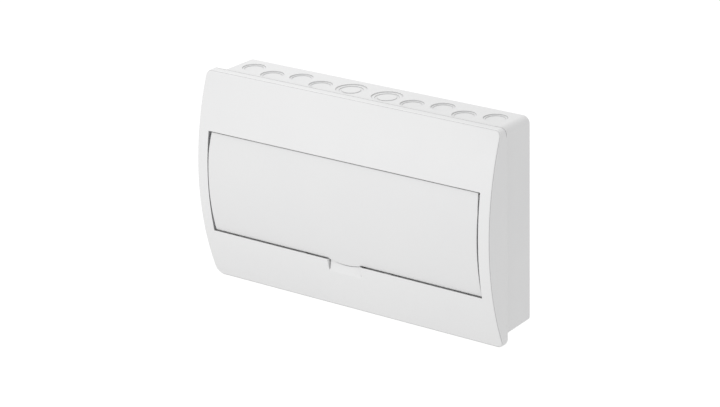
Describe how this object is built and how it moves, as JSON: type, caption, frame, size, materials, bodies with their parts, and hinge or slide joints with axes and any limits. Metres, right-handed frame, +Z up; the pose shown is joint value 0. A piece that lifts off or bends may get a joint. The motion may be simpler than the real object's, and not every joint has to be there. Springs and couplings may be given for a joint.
{
  "type": "modular distribution board",
  "caption": "Surface-mounted distribution board: bowed cover with a lift-up door over a DIN rail, terminal bars and knock-out cable entries.",
  "frame": {"origin": "point of the wall face straight behind the middle of the DIN rail", "axes": "+X to the right along the width, -Y out of the front, +Y into the wall, +Z up"},
  "size_m": [0.41, 0.0915, 0.2554],
  "materials": {
    "cover_plastic": "satin white",
    "door_plastic": "satin white, a shade darker than the cover",
    "base_plastic": "satin white",
    "zinc_steel": "zinc plated",
    "screw_steel": "bright zinc",
    "terminal_brass": "drawn brass",
    "blue_plastic": "matt blue",
    "green_plastic": "matt green",
    "label_board": "uncoated card",
    "clear_plastic": "clear polished",
    "washer_fibre": "matt black"
  },
  "bodies": {
    "base": {"rear_base": "base_plastic", "din_rail": "zinc_steel", "rail_screws": "screw_steel", "neutral_bar_feet": "blue_plastic", "neutral_bar": "terminal_brass", "neutral_screws": "screw_steel", "earth_bar_feet": "green_plastic", "earth_bar": "terminal_brass", "earth_screws": "screw_steel"},
    "cover": {"front_cover": "cover_plastic", "module_mask": "cover_plastic", "blanking_strip": "cover_plastic", "label_card": "label_board", "label_window": "clear_plastic", "captive_washers": "washer_fibre"},
    "door": {"door": "door_plastic", "hinge_pin_left": "screw_steel", "hinge_pin_right": "screw_steel"},
    "screw_top_left": {"cover_screw_top_left": "screw_steel"},
    "screw_top_right": {"cover_screw_top_right": "screw_steel"},
    "screw_bottom_left": {"cover_screw_bottom_left": "screw_steel"},
    "screw_bottom_right": {"cover_screw_bottom_right": "screw_steel"}
  },
  "joints": [
    {"name": "cover_pull_off", "type": "slide", "parent": "base", "child": "cover", "axis": [0, -1, 0], "range_m": [0, 0.15]},
    {"name": "door_hinge", "type": "hinge", "parent": "cover", "child": "door", "pos_m": [0, -0.0814, 0.0521], "axis": [-1, 0, 0], "range_deg": [0, 100]},
    {"name": "screw_turn_top_left", "type": "hinge", "parent": "cover", "child": "screw_top_left", "pos_m": [-0.177, -0.064, 0.042], "axis": [0, -1, 0], "continuous": true},
    {"name": "screw_turn_top_right", "type": "hinge", "parent": "cover", "child": "screw_top_right", "pos_m": [0.177, -0.064, 0.042], "axis": [0, -1, 0], "continuous": true},
    {"name": "screw_turn_bottom_left", "type": "hinge", "parent": "cover", "child": "screw_bottom_left", "pos_m": [-0.177, -0.064, -0.042], "axis": [0, -1, 0], "continuous": true},
    {"name": "screw_turn_bottom_right", "type": "hinge", "parent": "cover", "child": "screw_bottom_right", "pos_m": [0.177, -0.064, -0.042], "axis": [0, -1, 0], "continuous": true}
  ]
}
